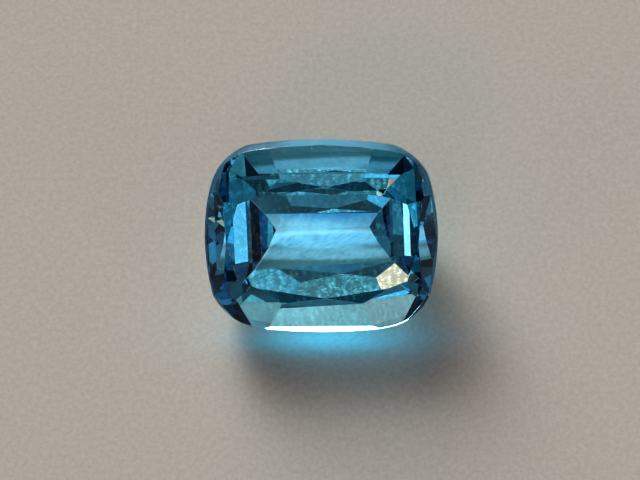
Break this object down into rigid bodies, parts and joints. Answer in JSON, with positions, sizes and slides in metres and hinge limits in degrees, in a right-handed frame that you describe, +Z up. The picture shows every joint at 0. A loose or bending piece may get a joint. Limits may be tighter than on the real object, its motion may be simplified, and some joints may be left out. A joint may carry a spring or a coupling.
{
  "type": "blue topaz gemstone",
  "caption": "Loose rectangular cushion-cut blue topaz with a stepped pavilion, lying on one of its pavilion facets.",
  "frame": {"origin": "bottom centre of the stone as it lies, on the surface under it", "axes": "+Z up from the surface, +X along the stone's length, -Y the side that its table leans towards"},
  "size_m": [0.012, 0.0086, 0.0072],
  "materials": {
    "topaz": "polished clear blue stone with a finely ground girdle"
  },
  "bodies": {
    "root": {"blue_topaz": "topaz"}
  },
  "joints": []
}
